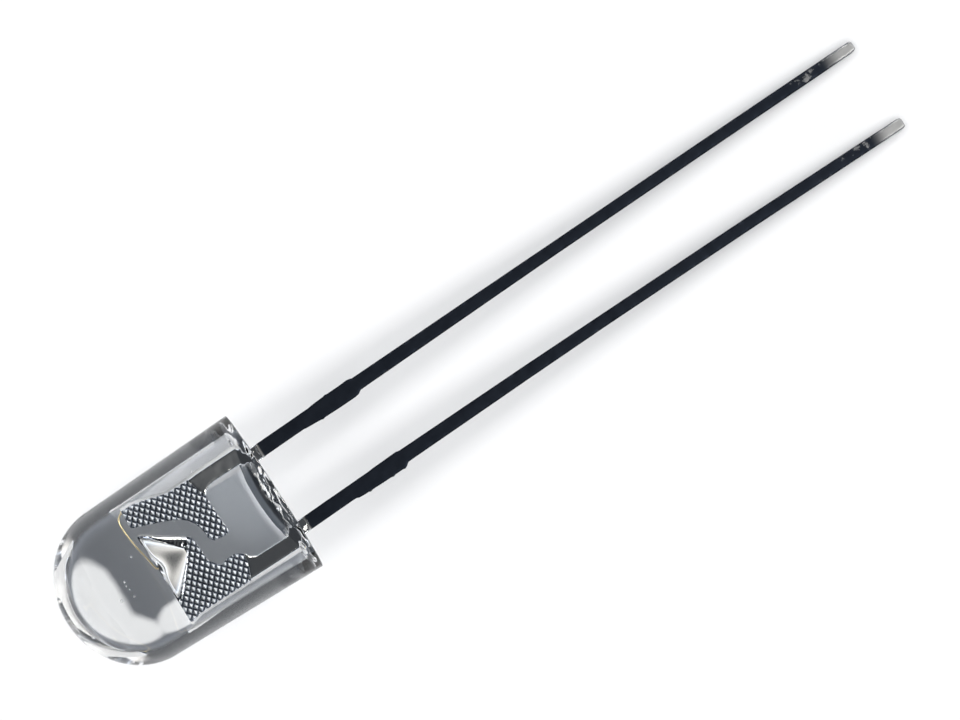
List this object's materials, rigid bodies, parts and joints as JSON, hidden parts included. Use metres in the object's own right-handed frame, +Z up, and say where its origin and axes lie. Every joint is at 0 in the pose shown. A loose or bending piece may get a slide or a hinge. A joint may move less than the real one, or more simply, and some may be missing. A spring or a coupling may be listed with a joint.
{
  "type": "through-hole light-emitting diode",
  "caption": "Clear through-hole light-emitting diode with an oval domed body, a knurled lead frame with a reflector cup, and long straight leads.",
  "frame": {"origin": "middle of the bounding box in X and Y, at the level of the surface that the diode lies on", "axes": "+X from the dome towards the lead tips, +Y across the wide way of the oval body towards the post lead, +Z up"},
  "size_m": [0.0286, 0.0052, 0.0041],
  "materials": {
    "clear_resin": "gloss",
    "lead_steel": "satin",
    "chip": "polished",
    "silver_adhesive": "satin",
    "gold_wire": "polished"
  },
  "bodies": {
    "root": {"lens_body": "clear_resin", "cup_lead": "lead_steel", "post_lead": "lead_steel", "led_die": "chip", "die_attach": "silver_adhesive", "bond_wire": "gold_wire"}
  },
  "joints": []
}
